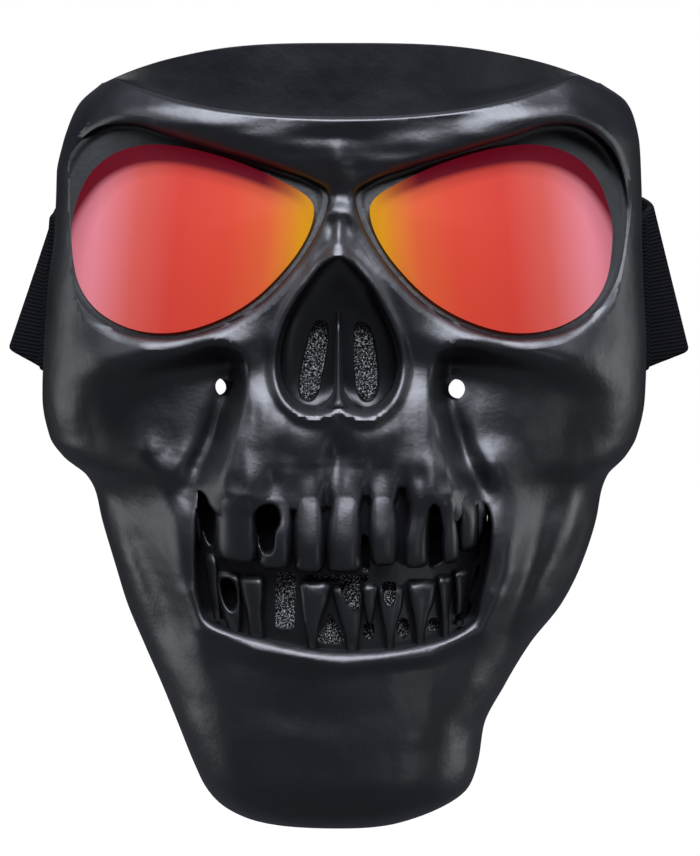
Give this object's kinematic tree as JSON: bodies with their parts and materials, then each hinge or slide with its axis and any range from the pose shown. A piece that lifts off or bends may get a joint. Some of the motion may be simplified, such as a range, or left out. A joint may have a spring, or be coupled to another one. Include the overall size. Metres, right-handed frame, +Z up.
{
  "type": "skull mask",
  "caption": "Full-face moulded skull mask with teardrop mirror lenses, filtered nose and tooth gaps, and an elastic head strap.",
  "frame": {"origin": "where the wearer's brow meets the bridge of the mask; the hollow for the head lies behind it at +Y", "axes": "+X to the viewer's right as one looks at the face, +Y towards the back of the wearer's head, +Z up"},
  "size_m": [0.224, 0.2181, 0.2442],
  "materials": {
    "shell_plastic": "black moulded plastic, semi-gloss",
    "lens_mirror": "red mirror coating, orange to yellow at the nose",
    "filter_foam": "open-cell foam, black speckled with grey",
    "strap_elastic": "black woven elastic"
  },
  "bodies": {
    "root": {"skull_shell": "shell_plastic", "lens_left": "lens_mirror", "lens_right": "lens_mirror", "nose_filter": "filter_foam", "mouth_filter": "filter_foam", "head_strap": "strap_elastic"}
  },
  "joints": []
}
